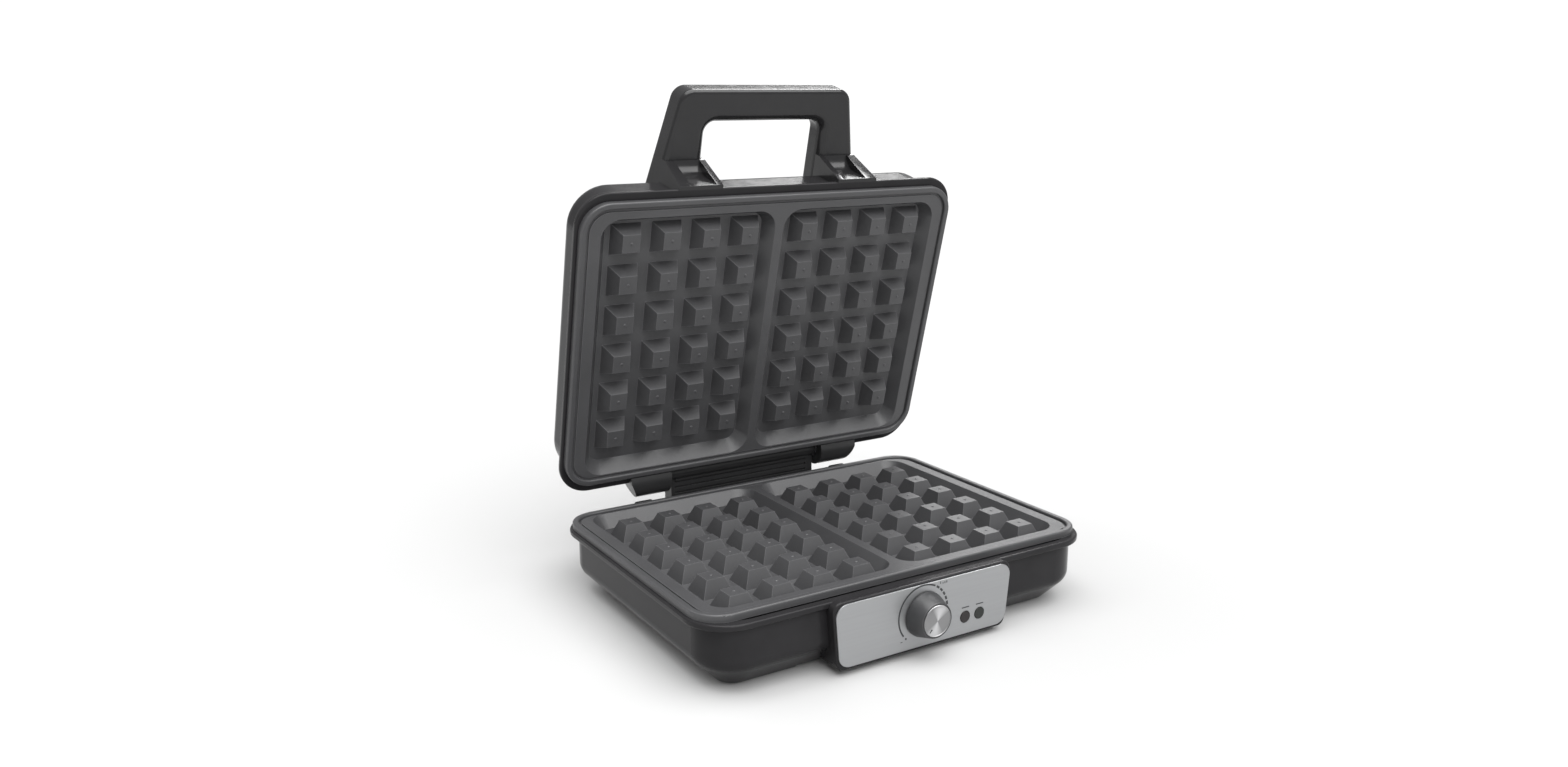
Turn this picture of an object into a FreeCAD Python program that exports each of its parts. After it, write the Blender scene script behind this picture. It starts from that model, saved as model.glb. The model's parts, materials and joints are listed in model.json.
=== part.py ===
import FreeCAD, Part
import Sketcher
import math
import os
import re

# Two-slice waffle maker, opened. Millimetres, +Z up, front (control panel) towards -Y.
# Base and lid are drawn closed, about the middle of the tooth grid. Each sub-part's Placement then
# puts the grid's middle where it belongs, and swings the lid's parts about the hinge pin.

Vector = FreeCAD.Vector
doc = FreeCAD.newDocument("waffle_maker")
sheet = doc.addObject("Spreadsheet::Sheet", "Dims")

DIMENSIONS = [
    # whole object
    ("lid_open", 75.7, "lid angle from closed, as modelled"),
    ("frame_shift", 9.6, "grid middle ahead of the frame's origin"),
    ("skin_t", 2.5, "wall of the plastic shells"),
    ("shell_half", 127.2, "half width of both shells"),
    ("shell_front", 91.5, "grid middle to the base's front wall"),
    ("lid_front", 89.4, "grid middle to the lid's front wall"),
    ("shell_back", 97.5, "grid middle to the shells' rear wall"),
    ("shell_corner", 24.0, "plan radius of the shells' corners"),
    ("shell_bevel", 15.0, "45 degree bevel round each shell"),
    ("lip_out", 5.0, "flange beyond the side walls"),
    ("lip_out_y", 2.2, "base flange beyond the front and rear walls"),
    ("lid_lip_y", 2.9, "lid flange beyond the front and rear walls"),
    ("lip_corner", 25.0, "plan radius of the base flange's corners"),
    ("lid_lip_corner", 20.0, "plan radius of the lid flange's corners"),
    ("lip_t", 3.7, "flange thickness"),
    # heights of the base
    ("pad_z", 0.6, "rubber foot below the housing"),
    ("lip_top", 41.4, "top of the base flange"),
    ("arch_rise", 2.0, "rise of the housing's edge between its corner feet"),
    # cooking plates
    ("tooth_z", 46.0, "tooth tops of the lower plate"),
    ("tooth_high", 9.5, "tooth height above the cell floor"),
    ("tooth_top", 10.8, "width of a tooth's top"),
    ("tooth_foot", 19.0, "width of a tooth's foot"),
    ("pitch_x", 26.0, "tooth pitch across"),
    ("pitch_y", 25.25, "tooth pitch front to back"),
    ("grid_gap", 42.4, "distance between the two inner tooth columns"),
    ("rim_half", 130.2, "half width of the plate's rim"),
    ("rim_front", 87.5, "grid middle to the rim's front"),
    ("rim_back", 94.4, "grid middle to the rim's back"),
    ("rim_corner", 18.0, "plan radius of the rim"),
    ("rim_drop", 1.7, "rim flat below the tooth tops"),
    ("bead_high", 1.2, "outer bead above the rim flat"),
    ("bead_wide", 3.8, "width of the outer bead"),
    ("groove_wide", 1.6, "width of the groove inside the bead"),
    ("cell_inner", 3.0, "half width of the land between the cells"),
    ("cell_outer", 117.6, "outer edge of a cell"),
    ("cell_front", 77.5, "grid middle to the cells' front edge"),
    ("cell_back", 88.3, "grid middle to the cells' back edge"),
    ("cell_corner", 12.0, "plan radius of a cell"),
    ("cell_slope", 5.5, "run of a cell's sloping wall"),
    ("slope_front", 3.4, "run of a cell's front wall"),
    ("slope_back", 6.5, "run of a cell's back wall"),
    ("plate_t", 3.0, "metal under a cell floor"),
    ("plate_gap", 2.5, "tooth tops apart when the lid is closed"),
    # heater and fixings under each plate, measured from the plate's underside
    ("heater_r", 3.2, "radius of the heating tube"),
    ("pan_drop", 8.0, "plate underside to the reflector pan"),
    ("pan_t", 0.6, "reflector pan sheet"),
    ("boss_x", 60.2, "plate screws from the middle"),
    ("boss_y", 50.5, "plate screws from the grid middle"),
    ("boss_r", 4.5, "radius of the screw bosses"),
    ("screw_r", 2.0, "radius of a plate screw"),
    # hinge
    ("hinge_y", 101.4, "pin axis behind the grid middle"),
    ("hinge_z", 58.65, "height of the pin axis"),
    ("pin_r", 2.5, "hinge pin radius"),
    ("pin_play", 0.06, "radial clearance of the pin in a lug"),
    ("cheek_in", 50.5, "inner face of a hinge cheek"),
    ("cheek_out", 56.4, "outer face of a hinge cheek"),
    ("cheek_r", 4.6, "radius of a cheek's eye"),
    ("lug_in", 57.3, "inner face of a lid lug"),
    ("lug_out", 80.0, "outer face of a lid lug"),
    ("lug_r", 11.3, "radius of a lid lug"),
    ("notch_y", 95.8, "rear wall of the lid between its lugs"),
    # control panel
    ("bezel_top", 60.9, "half width of the bezel at its top"),
    ("bezel_low", 57.4, "half width of the bezel at its bottom"),
    ("bezel_face", 99.0, "grid middle to the bezel's face"),
    ("bezel_z", 3.2, "bottom of the bezel"),
    ("face_t", 1.0, "faceplate thickness"),
    ("knob_x", -1.5, "knob axis from the middle"),
    ("knob_z", 24.0, "height of the knob axis"),
    ("knob_r", 13.0, "radius of the knob's foot"),
    ("knob_tip", 10.0, "radius of the knob's tip"),
    ("knob_long", 10.6, "length of the knob's skirt"),
    ("cap_r", 9.2, "radius of the knob cap"),
    ("shaft_r", 3.0, "thermostat shaft radius"),
    ("lamp_x", 27.4, "power light from the middle"),
    ("lamp_step", 10.2, "power light to ready light"),
    ("lamp_z", 15.5, "height of the lights"),
    ("lens_r", 3.4, "radius of a light lens"),
    # handle
    ("grip_z", 31.0, "upper tooth tops to the grip's underside"),
    ("grip_t", 16.0, "thickness of the grip"),
    ("grip_out", 142.9, "grid middle to the grip's front"),
    ("grip_in", 123.2, "grid middle to the front of the hand opening"),
    ("grip_half", 58.5, "half width of the grip at its front"),
    ("leg_half", 72.6, "half width of the handle at the lid"),
    ("hand_half", 40.8, "half width of the hand opening"),
    ("leg_knee", 101.6, "grid middle to the knee of a handle leg"),
]


def fill_sheet():
    for row, (alias, size, meaning) in enumerate(DIMENSIONS, start=1):
        sheet.set(f"A{row}", meaning)
        sheet.set(f"B{row}", str(size))
        sheet.setAlias(f"B{row}", alias)
    doc.recompute()


def dims(expression):
    """Every name with an underscore is a cell of the sheet."""
    return re.sub(r"\b[a-z]+(?:_[a-z0-9]+)+\b", lambda name: "Dims." + name.group(0), str(expression))


def value(expression):
    size = sheet.evalExpression(dims(expression))
    return float(getattr(size, "Value", size))


def bind(obj, prop, expression):
    obj.setExpression(prop, dims(expression))


# ---------------------------------------------------------------- sketches

def origin_item(body, role):
    return next(item for item in body.Origin.OriginFeatures if item.Role == role)


def new_sketch(body, name, role, offset="0"):
    sketch = body.newObject("Sketcher::SketchObject", name)
    sketch.AttachmentSupport = [(origin_item(body, role), "")]
    sketch.MapMode = "FlatFace"
    bind(sketch, "AttachmentOffset.Base.z", offset)
    return sketch


def locate(sketch, kind, geometry, point, expression):
    """Ties one coordinate of a point to the sheet, measured from the sketch's origin."""
    size = value(expression)
    if abs(size) < 1e-9:
        axis = -2 if kind == "DistanceX" else -1
        sketch.addConstraint(Sketcher.Constraint("PointOnObject", geometry, point, axis))
    elif size > 0:
        index = sketch.addConstraint(Sketcher.Constraint(kind, -1, 1, geometry, point, size))
        bind(sketch, f"Constraints[{index}]", expression)
    else:
        index = sketch.addConstraint(Sketcher.Constraint(kind, geometry, point, -1, 1, -size))
        bind(sketch, f"Constraints[{index}]", f"-({expression})")


def rounded_rectangle(sketch, left, right, low, high, radius):
    x0, x1, y0, y1, r = (value(size) for size in (left, right, low, high, radius))
    first = sketch.GeometryCount
    corners = [(x1 - r, y0 + r, -90), (x1 - r, y1 - r, 0), (x0 + r, y1 - r, 90), (x0 + r, y0 + r, 180)]
    sides = [((x0 + r, y0), (x1 - r, y0)), ((x1, y0 + r), (x1, y1 - r)),
             ((x1 - r, y1), (x0 + r, y1)), ((x0, y1 - r), (x0, y0 + r))]
    for start, end in sides:
        sketch.addGeometry(Part.LineSegment(Vector(*start, 0), Vector(*end, 0)))
    for x, y, angle in corners:
        circle = Part.Circle(Vector(x, y, 0), Vector(0, 0, 1), r)
        start = math.radians(angle)
        sketch.addGeometry(Part.ArcOfCircle(circle, start, start + math.pi / 2))
    for side in range(4):
        line, arc, next_line = first + side, first + 4 + side, first + (side + 1) % 4
        sketch.addConstraint(Sketcher.Constraint("Tangent", line, 2, arc, 1))
        sketch.addConstraint(Sketcher.Constraint("Tangent", arc, 2, next_line, 1))
        if side:
            sketch.addConstraint(Sketcher.Constraint("Equal", first + 4, arc))
    sketch.addConstraint(Sketcher.Constraint("Horizontal", first))
    sketch.addConstraint(Sketcher.Constraint("Vertical", first + 1))
    index = sketch.addConstraint(Sketcher.Constraint("Radius", first + 4, r))
    bind(sketch, f"Constraints[{index}]", radius)
    locate(sketch, "DistanceY", first, 1, low)
    locate(sketch, "DistanceX", first + 1, 1, right)
    locate(sketch, "DistanceY", first + 2, 1, high)
    locate(sketch, "DistanceX", first + 3, 1, left)


def polygon(sketch, points):
    first = sketch.GeometryCount
    spots = [Vector(value(x), value(y), 0) for x, y in points]
    for index, spot in enumerate(spots):
        sketch.addGeometry(Part.LineSegment(spot, spots[(index + 1) % len(spots)]))
    for index, (x, y) in enumerate(points):
        following = first + (index + 1) % len(points)
        sketch.addConstraint(Sketcher.Constraint("Coincident", first + index, 2, following, 1))
    for index, (x, y) in enumerate(points):
        locate(sketch, "DistanceX", first + index, 1, x)
        locate(sketch, "DistanceY", first + index, 1, y)


def circle(sketch, x, y, radius):
    middle = Vector(value(x), value(y), 0)
    index = sketch.addGeometry(Part.Circle(middle, Vector(0, 0, 1), value(radius)))
    locate(sketch, "DistanceX", index, 3, x)
    locate(sketch, "DistanceY", index, 3, y)
    constraint = sketch.addConstraint(Sketcher.Constraint("Radius", index, value(radius)))
    bind(sketch, f"Constraints[{constraint}]", radius)


# ---------------------------------------------------------------- features

def new_body(name):
    body = doc.addObject("PartDesign::Body", name)
    body.Label = name
    return body


def feature(body, kind, name, sketch, length, flip=False):
    """A pad, or a pocket that has to take material away."""
    doc.recompute()
    before = body.Shape.Volume if body.Tip else 0.0
    item = body.newObject("PartDesign::" + kind, name)
    item.Profile = sketch
    item.Reversed = flip
    bind(item, "Length", length)
    doc.recompute()
    change = item.Shape.Volume - before
    if (kind == "Pocket") != (change < 0):
        raise RuntimeError(f"{body.Name}.{name} changes the volume by {change:.1f}")
    return item


def loft(body, kind, name, sections):
    item = body.newObject("PartDesign::" + kind, name)
    item.Profile = sections[0]
    item.Sections = sections[1:]
    item.Ruled = True
    doc.recompute()
    return item


def edges_where(shape, test):
    return [f"Edge{number}" for number, edge in enumerate(shape.Edges, start=1) if test(edge)]


def dress(body, kind, name, test, size):
    """A fillet or chamfer on the edges that pass the test."""
    base = body.Tip
    item = body.newObject("PartDesign::" + kind, name)
    item.Base = (base, edges_where(base.Shape, test))
    bind(item, "Radius" if kind == "Fillet" else "Size", size)
    doc.recompute()
    return item


def flat_at(height, slack=0.01):
    """Edges that lie level at one height."""
    def test(edge):
        box = edge.BoundBox
        return abs(box.ZMin - height) < slack and abs(box.ZMax - height) < slack
    return test


# ---------------------------------------------------------------- primitives

def cylinder(name, radius, length, x, y, z, axis="Z"):
    """A cylinder from a point along +X, -Y, +Z or -Z."""
    item = doc.addObject("Part::Cylinder", name)
    bind(item, "Radius", radius)
    bind(item, "Height", length)
    turns = {"Z": (Vector(0, 0, 1), 0), "-Z": (Vector(1, 0, 0), 180),
             "X": (Vector(0, 1, 0), 90), "-X": (Vector(0, 1, 0), -90),
             "-Y": (Vector(1, 0, 0), 90), "Y": (Vector(1, 0, 0), -90)}
    item.Placement = FreeCAD.Placement(Vector(), FreeCAD.Rotation(*turns[axis]))
    for letter, place in (("x", x), ("y", y), ("z", z)):
        bind(item, "Placement.Base." + letter, place)
    return item


def box(name, x, y, z, wide, deep, high):
    item = doc.addObject("Part::Box", name)
    for prop, size in (("Length", wide), ("Width", deep), ("Height", high)):
        bind(item, prop, size)
    for letter, place in (("x", x), ("y", y), ("z", z)):
        bind(item, "Placement.Base." + letter, place)
    return item


def fuse(name, shapes):
    item = doc.addObject("Part::MultiFuse", name)
    item.Shapes = shapes
    item.Refine = True
    return item


def cut(name, base, tools):
    item = doc.addObject("Part::Cut", name)
    item.Base = base
    item.Tool = tools[0] if len(tools) == 1 else fuse(name + "_tools", tools)
    item.Refine = True
    return item


def group(name, shapes):
    """Identical pieces kept together in one node as separate solids."""
    item = doc.addObject("Part::Compound", name)
    item.Links = shapes
    return item


def screw(name, x, y, z, length, axis, head_r="3.6", head_h="2.4", shank_r="screw_r"):
    """A pan-head screw whose shank starts at a point and runs along an axis, head behind it."""
    back = {"Z": (0, 0, -1), "-Z": (0, 0, 1), "X": (-1, 0, 0), "-X": (1, 0, 0),
            "Y": (0, -1, 0), "-Y": (0, 1, 0)}[axis]
    head_at = [f"{place} + ({step})*{head_h}" for place, step in zip((x, y, z), back)]
    head = cylinder(name + "_head", head_r, head_h, *head_at, axis)
    shank = cylinder(name + "_shank", shank_r, length, x, y, z, axis)
    return fuse(name, [head, shank])


# ---------------------------------------------------------------- heights

def over(height):
    """The lid's height that mirrors a height of the base when the lid is closed."""
    return f"(2*tooth_z + plate_gap - ({height}))"


def below(height):
    return height


CELL_FLOOR = "(tooth_z - tooth_high)"
UNDERSIDE = f"({CELL_FLOOR} - plate_t)"
PAN_TOP = f"({UNDERSIDE} - pan_drop)"
RIM_FLAT = "(tooth_z - rim_drop)"
LID_TOP = over("pad_z")
FLOOR_Z = "(pad_z + arch_rise + skin_t)"
SCREW_SEAT = f"({PAN_TOP} - 11)"
PLATE_FIXINGS = [(side, end) for side in ("-", "") for end in ("-", "")]


def slab(body, kind, name, level, from_z, to_z, outline):
    """Pads or pockets an outline between two heights, in whichever order they lie."""
    low, high = sorted((level(from_z), level(to_z)), key=value)
    start = low if kind == "Pad" else high
    sketch = new_sketch(body, name + "_outline", "XY_Plane", start)
    outline(sketch)
    return feature(body, kind, name, sketch, f"({high}) - ({low})")


def front_wall(level):
    return "lid_front" if level is over else "shell_front"


def flange(level):
    return "lid_lip_y" if level is over else "lip_out_y"


def lip_outline(level):
    def draw(sketch):
        rounded_rectangle(sketch, "-(shell_half + lip_out)", "shell_half + lip_out",
                          f"-({front_wall(level)} + {flange(level)})", f"shell_back + {flange(level)}",
                          "lid_lip_corner" if level is over else "lip_corner")
    return draw


def wall_outline(level, inset):
    def draw(sketch):
        rounded_rectangle(sketch, f"-(shell_half - ({inset}))", f"shell_half - ({inset})",
                          f"-({front_wall(level)} - ({inset}))", f"shell_back - ({inset})",
                          f"shell_corner - ({inset})")
    return draw


def shell_outside(name, level):
    """A bevelled tub with its flange, still solid. The base opens upwards, the lid downwards."""
    body = new_body(name)
    slab(body, "Pad", name + "_walls", level, "pad_z", "lip_top", wall_outline(level, "0"))
    end = value(level("pad_z"))
    dress(body, "Chamfer", name + "_bevel", flat_at(end), "shell_bevel")
    corner = value(level("pad_z + shell_bevel"))
    dress(body, "Fillet", name + "_shoulder", flat_at(corner), "9")
    dress(body, "Fillet", name + "_edge", flat_at(end), "3")
    slab(body, "Pad", name + "_lip", level, "lip_top - lip_t", "lip_top", lip_outline(level))
    near, far = value("shell_half + lip_out/2"), value(f"shell_back + {flange(level)}/2")
    front = value(f"{front_wall(level)} + {flange(level)}/2")

    def rim(edge):
        box_ = edge.BoundBox
        outer = max(box_.XMax, -box_.XMin) > near or box_.YMax > far or -box_.YMin > front
        return outer and box_.ZLength < 0.01
    dress(body, "Fillet", name + "_lip_edge", rim, "1.2")
    return body


def hollow(body, level, floor):
    """Takes out the inside, following the bevel at one wall thickness."""
    name = body.Name
    slope_z = "pad_z + shell_bevel + 0.414*skin_t"
    slab(body, "Pocket", name + "_inside", level, slope_z, "lip_top", wall_outline(level, "skin_t"))
    wide = new_sketch(body, name + "_slope_wide", "XY_Plane", level(slope_z))
    wall_outline(level, "skin_t")(wide)
    narrow = new_sketch(body, name + "_slope_narrow", "XY_Plane", level(floor))
    wall_outline(level, f"shell_bevel + 1.414*skin_t - ({floor} - pad_z)")(narrow)
    loft(body, "SubtractiveLoft", name + "_slope", [wide, narrow])


def circles(places, radius):
    def draw(sketch):
        for x, y in places:
            circle(sketch, x, y, radius)
    return draw


def plate_fixing_points():
    return [(f"{side}boss_x", f"{end}boss_y") for side, end in PLATE_FIXINGS]


def screw_posts(body, level, floor, skin_end):
    """Posts that carry the reflector pan, bored for the plate screws."""
    places = plate_fixing_points()
    name = body.Name
    slab(body, "Pad", name + "_posts", level, floor, f"{PAN_TOP} - pan_t", circles(places, "boss_r + 1.5"))
    slab(body, "Pocket", name + "_bores", level, skin_end, f"{PAN_TOP} - pan_t",
         circles(places, "screw_r + 0.3"))
    slab(body, "Pocket", name + "_seats", level, skin_end, SCREW_SEAT, circles(places, "boss_r - 0.3"))


# ---------------------------------------------------------------- base

def front_hole(body, name, draw, start, reach):
    """A pocket cut towards the rear from ahead of the front wall."""
    sketch = new_sketch(body, name + "_outline", "XZ_Plane", start)
    draw(sketch)
    return feature(body, "Pocket", name, sketch, reach)


def rear_hole(body, name, draw, start, reach):
    """A pocket cut towards the front from behind the rear wall."""
    sketch = new_sketch(body, name + "_outline", "XZ_Plane", f"-({start})")
    draw(sketch)
    return feature(body, "Pocket", name, sketch, reach, flip=True)


FOOT_SPOTS = [("-97", "-60"), ("97", "-60"), ("-97", "66"), ("97", "66")]
TOWER_SCREWS = [("-36", "27"), ("36", "27"), ("0", "27")]
GLAND_X, GLAND_Z = "86", "27"


def base_housing():
    body = shell_outside("base_housing", below)
    hollow(body, below, FLOOR_Z)
    screw_posts(body, below, FLOOR_Z, "pad_z")

    def side_arch(sketch):
        polygon(sketch, [("-140", "-36"), ("140", "-36"), ("140", "44"), ("-140", "44")])

    def front_arch(sketch):
        polygon(sketch, [("-70", "-120"), ("70", "-120"), ("70", "120"), ("-70", "120")])
    slab(body, "Pocket", "side_arches", below, "pad_z", "pad_z + arch_rise", side_arch)
    slab(body, "Pocket", "end_arches", below, "pad_z", "pad_z + arch_rise", front_arch)
    slab(body, "Pocket", "foot_seats", below, "pad_z", "3.4", circles(FOOT_SPOTS, "7.1"))

    def panel(sketch):
        rounded_rectangle(sketch, "-50", "50", "10", "35.5", "4")
    front_hole(body, "panel_opening", panel, "shell_front + 1", "skin_t + 8.5")
    rear_hole(body, "tower_holes", circles(TOWER_SCREWS, "screw_r + 0.3"), "shell_back + 1", "skin_t + 2")
    rear_hole(body, "gland_hole", circles([(GLAND_X, GLAND_Z)], "6.6"), "shell_back + 1", "skin_t + 2")

    def bumps(sketch):
        rounded_rectangle(sketch, "68", "81", "95", "99", "1.9")
        rounded_rectangle(sketch, "-81", "-68", "95", "99", "1.9")
    slab(body, "Pad", "rear_bumps", below, "lip_top", "lip_top + 3.4", bumps)
    dress(body, "Fillet", "bump_round", flat_at(value("lip_top + 3.4")), "1.5")
    vent_rows = new_sketch(body, "vent_outline", "XY_Plane", FLOOR_Z)
    rounded_rectangle(vent_rows, "-24", "24", "-20", "-17", "1.4")
    slot = feature(body, "Pocket", "vent", vent_rows, "skin_t + 1")
    vents = body.newObject("PartDesign::LinearPattern", "vents")
    vents.Originals = [slot]
    vents.Direction = (origin_item(body, "Y_Axis"), [""])
    vents.Length = 48
    vents.Occurrences = 7
    body.Tip = vents
    doc.recompute()
    return body


def rubber_feet():
    return group("rubber_feet", [cylinder(f"foot_{n}", "7", "3.4", x, y, "0")
                                 for n, (x, y) in enumerate(FOOT_SPOTS)])


def rim_outline(inset, radius):
    def draw(sketch):
        rounded_rectangle(sketch, f"-(rim_half - {inset})", f"rim_half - {inset}",
                          f"-(rim_front - {inset})", f"rim_back - {inset}", radius)
    return draw


def cooking_plate(name, level):
    body = new_body(name)

    def tray(sketch):
        rounded_rectangle(sketch, "-(cell_outer + 3)", "cell_outer + 3", "-(cell_front + 3)",
                          "cell_back + 3", "15")
    slab(body, "Pad", name + "_tray", level, UNDERSIDE, "lip_top", tray)
    slab(body, "Pad", name + "_rim", level, "lip_top", RIM_FLAT, rim_outline("0", "rim_corner"))

    def ring(sketch):
        rim_outline("0", "rim_corner")(sketch)
        rim_outline("bead_wide", "rim_corner - bead_wide")(sketch)
    slab(body, "Pad", name + "_bead", level, RIM_FLAT, f"{RIM_FLAT} + bead_high", ring)
    dress(body, "Fillet", name + "_bead_round", flat_at(value(level(f"{RIM_FLAT} + bead_high"))), "1.1")

    def groove(sketch):
        rim_outline("bead_wide", "rim_corner - bead_wide")(sketch)
        rim_outline("(bead_wide + groove_wide)", "rim_corner - bead_wide - groove_wide")(sketch)
    slab(body, "Pocket", name + "_groove", level, f"{RIM_FLAT} - 0.9", RIM_FLAT, groove)
    for side in ("left", "right"):
        cell(body, f"{name}_{side}", level, "-" if side == "left" else "")
    places = plate_fixing_points()
    slab(body, "Pad", name + "_bosses", level, PAN_TOP, UNDERSIDE, circles(places, "boss_r"))
    slab(body, "Pocket", name + "_pilots", level, PAN_TOP, f"{UNDERSIDE} - 0.5",
         circles(places, "screw_r + 0.05"))
    return body


def cell(body, name, level, sign):
    """One sunken cell and its teeth, on the side that the sign gives."""
    def edge(sketch_name, height, slope, front, back, radius):
        sketch = new_sketch(body, sketch_name, "XY_Plane", level(height))
        ends = sorted((f"{sign}(cell_inner + {slope})", f"{sign}(cell_outer - {slope})"), key=value)
        rounded_rectangle(sketch, *ends, f"-(cell_front - {front})", f"cell_back - {back}", radius)
        return sketch
    top = edge(name + "_cell_top", RIM_FLAT, "0", "0", "0", "cell_corner")
    floor = edge(name + "_cell_floor", CELL_FLOOR, "cell_slope", "slope_front", "slope_back",
                 "cell_corner - 5")
    loft(body, "SubtractiveLoft", name + "_cell", [top, floor])
    tooth = new_sketch(body, name + "_tooth_foot", "XY_Plane", level(CELL_FLOOR))
    middle_x = "grid_gap/2" if sign == "" else "-(grid_gap/2 + 3*pitch_x)"
    x0, x1 = f"{middle_x} - tooth_foot/2", f"{middle_x} + tooth_foot/2"
    y0, y1 = "-2.5*pitch_y - tooth_foot/2", "-2.5*pitch_y + tooth_foot/2"
    polygon(tooth, [(x0, y0), (x1, y0), (x1, y1), (x0, y1)])
    pad = feature(body, "Pad", name + "_tooth", tooth, "tooth_high", flip=level is over)
    bind(pad, "TaperAngle", "-atan((tooth_foot - tooth_top)/2/tooth_high)")
    teeth = body.newObject("PartDesign::LinearPattern", name + "_teeth")
    teeth.Originals = [pad]
    teeth.Direction = (origin_item(body, "X_Axis"), [""])
    bind(teeth, "Length", "3*pitch_x")
    teeth.Occurrences = 4
    teeth.Direction2 = (origin_item(body, "Y_Axis"), [""])
    bind(teeth, "Length2", "5*pitch_y")
    teeth.Occurrences2 = 6
    body.Tip = teeth
    doc.recompute()


HEATER_X, HEATER_FRONT, HEATER_BACK, HEATER_BEND = 78, -61, 62, 20


def heating_element(name, level):
    """A U-shaped sheathed tube under the plate, with a cold pin at each end."""
    centre = level(f"{UNDERSIDE} - heater_r - 0.1")
    body = new_body(name + "_tube")
    spine = new_sketch(body, name + "_spine", "XY_Plane", centre)
    x, y0, y1, r = HEATER_X, HEATER_FRONT, HEATER_BACK, HEATER_BEND
    spine.addGeometry(Part.LineSegment(Vector(-x, y1, 0), Vector(-x, y0 + r, 0)))
    left = Part.Circle(Vector(-x + r, y0 + r, 0), Vector(0, 0, 1), r)
    spine.addGeometry(Part.ArcOfCircle(left, math.pi, 1.5 * math.pi))
    spine.addGeometry(Part.LineSegment(Vector(-x + r, y0, 0), Vector(x - r, y0, 0)))
    right = Part.Circle(Vector(x - r, y0 + r, 0), Vector(0, 0, 1), r)
    spine.addGeometry(Part.ArcOfCircle(right, 1.5 * math.pi, 2 * math.pi))
    spine.addGeometry(Part.LineSegment(Vector(x, y0 + r, 0), Vector(x, y1, 0)))
    section = new_sketch(body, name + "_section", "XZ_Plane", str(-y1))
    circle(section, str(-x), centre, "heater_r")
    doc.recompute()
    tube = body.newObject("PartDesign::AdditivePipe", name + "_sweep")
    tube.Profile = section
    tube.Spine = (spine, [f"Edge{n}" for n in range(1, 6)])
    doc.recompute()
    pins = [cylinder(f"{name}_pin_{n}", "1.6", "16", str(side), str(y1), centre, "Y")
            for n, side in enumerate((-x, x))]
    return fuse(name, [body] + pins)


def reflector_pan(name, level):
    """A folded sheet tray that throws the heat back at the plate."""
    body = new_body(name)

    def outline(inset):
        def draw(sketch):
            rounded_rectangle(sketch, f"-100 + {inset}", f"100 - {inset}", f"-72 + {inset}",
                              f"71 - {inset}", f"9 - {inset}")
        return draw
    slab(body, "Pad", name + "_sheet", level, f"{PAN_TOP} - pan_t", f"{PAN_TOP} + 5.5", outline("0"))
    slab(body, "Pocket", name + "_inside", level, PAN_TOP, f"{PAN_TOP} + 5.5", outline("pan_t"))
    slab(body, "Pocket", name + "_holes", level, f"{PAN_TOP} - pan_t", PAN_TOP,
         circles(plate_fixing_points(), "screw_r + 0.3"))
    centre = level(f"{UNDERSIDE} - heater_r - 0.1")
    places = [(str(-HEATER_X), centre), (str(HEATER_X), centre)]
    rear_hole(body, name + "_pin_holes", circles(places, "3.4"), "72", "3")
    return body


def plate_screws(name, level):
    axis = "Z" if level is below else "-Z"
    return group(name, [screw(f"{name}_{n}", x, y, level(SCREW_SEAT), "18", axis)
                        for n, (x, y) in enumerate(plate_fixing_points())])


def trapezoid(sketch, inset, low, high):
    """The control panel's outline, wider at its top, between two heights."""
    half = f"(bezel_low + (bezel_top - bezel_low)*({{}} - bezel_z)/38 - {inset})"
    wide, narrow = half.format(high), half.format(low)
    polygon(sketch, [("-" + narrow, low), (narrow, low), (wide, high), ("-" + wide, high)])


def panel_prism(name, inset, low, high, front, depth, corner):
    """The panel's outline extruded towards the rear, its four corners rounded."""
    body = new_body(name)
    sketch = new_sketch(body, name + "_outline", "XZ_Plane", front)
    trapezoid(sketch, inset, low, high)
    feature(body, "Pad", name + "_block", sketch, depth, flip=True)
    dress(body, "Fillet", name + "_corners", lambda edge: edge.BoundBox.YLength > 0.5
          and edge.BoundBox.ZLength < 0.01, corner)
    return body


def control_bezel():
    front = panel_prism("bezel_front", "0", "bezel_z", "42.2", "bezel_face", "5", "5")
    face = value("-bezel_face")
    dress(front, "Fillet", "bezel_edge", lambda edge: abs(edge.BoundBox.YMin - face) < 0.01
          and edge.BoundBox.YLength < 0.01, "1.4")
    neck = panel_prism("bezel_neck", "0.6", "bezel_z + 0.2", "lip_top - lip_t - 0.2", "bezel_face - 3",
                       "18", "3")
    room = panel_prism("bezel_room", "4", "9", "36", "bezel_face - skin_t", "30", "3")
    housing = shell_outside("base_envelope", below)
    shaft = cylinder("bezel_shaft_hole", "4.8", "10", "knob_x", "-bezel_face - 2", "knob_z", "Y")
    lamps = lamp_tools("bezel_lamp_hole", "3.6", "10", "-bezel_face - 2")
    return cut("control_bezel", fuse("bezel_solid", [front, neck]), [housing, room, shaft] + lamps)


def lamp_places():
    return [("lamp_x", "power"), ("lamp_x + lamp_step", "ready")]


def lamp_tools(name, radius, length, y):
    return [cylinder(f"{name}_{label}", radius, length, x, y, "lamp_z", "Y") for x, label in lamp_places()]


def control_faceplate():
    blank = panel_prism("faceplate_blank", "0.9", "5.4", "41.1", "bezel_face + face_t", "face_t", "7")
    shaft = cylinder("faceplate_shaft_hole", "4.8", "6", "knob_x", "-bezel_face - 3", "knob_z", "Y")
    lamps = lamp_tools("faceplate_lamp_hole", "3.5", "6", "-bezel_face - 3")
    return cut("control_faceplate", blank, [shaft] + lamps)


def lens(name, x):
    rod = cylinder(name + "_rod", "lens_r", "4", x, "-bezel_face - face_t - 0.3", "lamp_z", "Y")
    flange = cylinder(name + "_flange", "4.6", "1", x, "-bezel_face + skin_t + 0.2", "lamp_z", "Y")
    return fuse(name, [rod, flange])


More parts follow.
